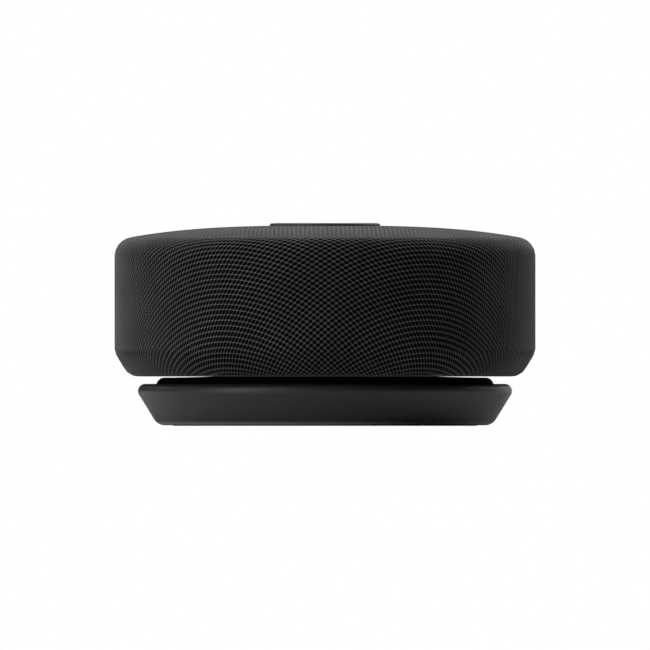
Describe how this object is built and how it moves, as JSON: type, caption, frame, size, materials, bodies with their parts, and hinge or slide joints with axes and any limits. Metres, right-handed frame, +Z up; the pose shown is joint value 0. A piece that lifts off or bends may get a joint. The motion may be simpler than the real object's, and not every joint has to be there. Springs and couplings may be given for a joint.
{
  "type": "conference speakerphone",
  "caption": "Round fabric-wrapped tabletop speakerphone on a smaller conical base, with a raised control disc on its domed top and a cable port at the back.",
  "frame": {"origin": "centre of the foot ring on the table", "axes": "+Z up along the round body's axis, -Y towards the front, +Y towards the cable port"},
  "size_m": [0.14, 0.14, 0.0676],
  "materials": {
    "knit_fabric": "charcoal knitted polyester mesh",
    "frame_plastic": "black ABS, fine texture",
    "control_plastic": "black matte",
    "key_plastic": "black matte",
    "plunger_plastic": "moulded",
    "light_guide": "milky light guide",
    "circuit_board": "green solder mask on glass epoxy",
    "chip_package": "moulded epoxy",
    "zinc_screws": "zinc plated",
    "switch_cans": "tin-plated sheet",
    "mic_cans": "gold-plated can",
    "soft_rubber": "moulded",
    "foam_seal": "closed-cell foam",
    "foot_rubber": "matte silicone",
    "basket_steel": "black painted pressed steel",
    "plated_iron": "zinc-plated soft iron",
    "magnet": "nickel-plated neodymium",
    "copper_winding": "enamelled copper",
    "cone_paper": "coated pulp",
    "spider_cloth": "resin-set cloth",
    "lead_sleeve": "PVC sleeve",
    "flat_cable": "flat flexible cable",
    "plinth_plastic": "black, very matte",
    "base_plastic": "black satin",
    "base_plate_plastic": "black, spark textured",
    "ballast_steel": "turned steel"
  },
  "bodies": {
    "housing": {"fabric_cover": "knit_fabric", "grille_drum": "frame_plastic", "dome_frame": "frame_plastic", "hem_clamp_ring": "frame_plastic", "control_bezel": "control_plastic", "status_light_ring": "light_guide", "key_guide": "frame_plastic", "control_board": "circuit_board", "control_board_screws": "zinc_screws", "tact_switches": "switch_cans", "mic_board": "circuit_board", "mic_capsules": "mic_cans", "mic_boots": "soft_rubber", "mic_board_screws": "zinc_screws", "control_ribbon": "flat_cable", "mic_ribbon": "flat_cable", "sound_diffuser": "frame_plastic", "diffuser_screws": "zinc_screws", "baffle_plate": "frame_plastic", "chamber_seal": "foam_seal", "acoustic_chamber": "frame_plastic", "chamber_grommet": "soft_rubber", "driver_basket": "basket_steel", "driver_seal": "foam_seal", "driver_screws": "zinc_screws", "driver_yoke": "plated_iron", "driver_magnet": "magnet", "driver_pole_plate": "plated_iron", "cone_surround": "soft_rubber", "spider": "spider_cloth", "speaker_leads": "lead_sleeve", "main_board": "circuit_board", "main_board_parts": "chip_package", "shield_can": "switch_cans", "body_chassis": "frame_plastic", "case_screws": "zinc_screws", "long_screws": "zinc_screws", "neck_pad": "foam_seal", "neck_screws": "zinc_screws", "plinth": "plinth_plastic", "base_shell": "base_plastic", "base_weight": "ballast_steel", "base_plate": "base_plate_plastic", "foot_ring": "foot_rubber", "usb_board": "circuit_board", "usb_c_socket": "switch_cans", "base_harness": "flat_cable"},
    "mute_button": {"mute_key": "key_plastic", "mute_plunger": "plunger_plastic"},
    "call_button": {"call_key": "key_plastic", "call_plunger": "plunger_plastic"},
    "end_call_button": {"end_call_key": "key_plastic", "end_call_plunger": "plunger_plastic"},
    "volume_up_button": {"volume_up_key": "key_plastic", "volume_up_plunger": "plunger_plastic"},
    "volume_down_button": {"volume_down_key": "key_plastic", "volume_down_plunger": "plunger_plastic"},
    "moving_cone": {"driver_cone": "cone_paper", "dust_cap": "cone_paper", "voice_coil": "copper_winding"}
  },
  "joints": [
    {"name": "mute_press", "type": "slide", "parent": "housing", "child": "mute_button", "axis": [0, 0, -1], "range_m": [0, 0.0004], "stiffness_N_per_m": 2500},
    {"name": "call_press", "type": "slide", "parent": "housing", "child": "call_button", "axis": [0, 0, -1], "range_m": [0, 0.0004], "stiffness_N_per_m": 2500},
    {"name": "end_call_press", "type": "slide", "parent": "housing", "child": "end_call_button", "axis": [0, 0, -1], "range_m": [0, 0.0004], "stiffness_N_per_m": 2500},
    {"name": "volume_up_press", "type": "slide", "parent": "housing", "child": "volume_up_button", "axis": [0, 0, -1], "range_m": [0, 0.0004], "stiffness_N_per_m": 2500},
    {"name": "volume_down_press", "type": "slide", "parent": "housing", "child": "volume_down_button", "axis": [0, 0, -1], "range_m": [0, 0.0004], "stiffness_N_per_m": 2500},
    {"name": "cone_stroke", "type": "slide", "parent": "housing", "child": "moving_cone", "axis": [0, 0, 1], "range_m": [-0.0015, 0.0015], "stiffness_N_per_m": 1800, "deforming": ["cone_surround", "spider"]}
  ]
}
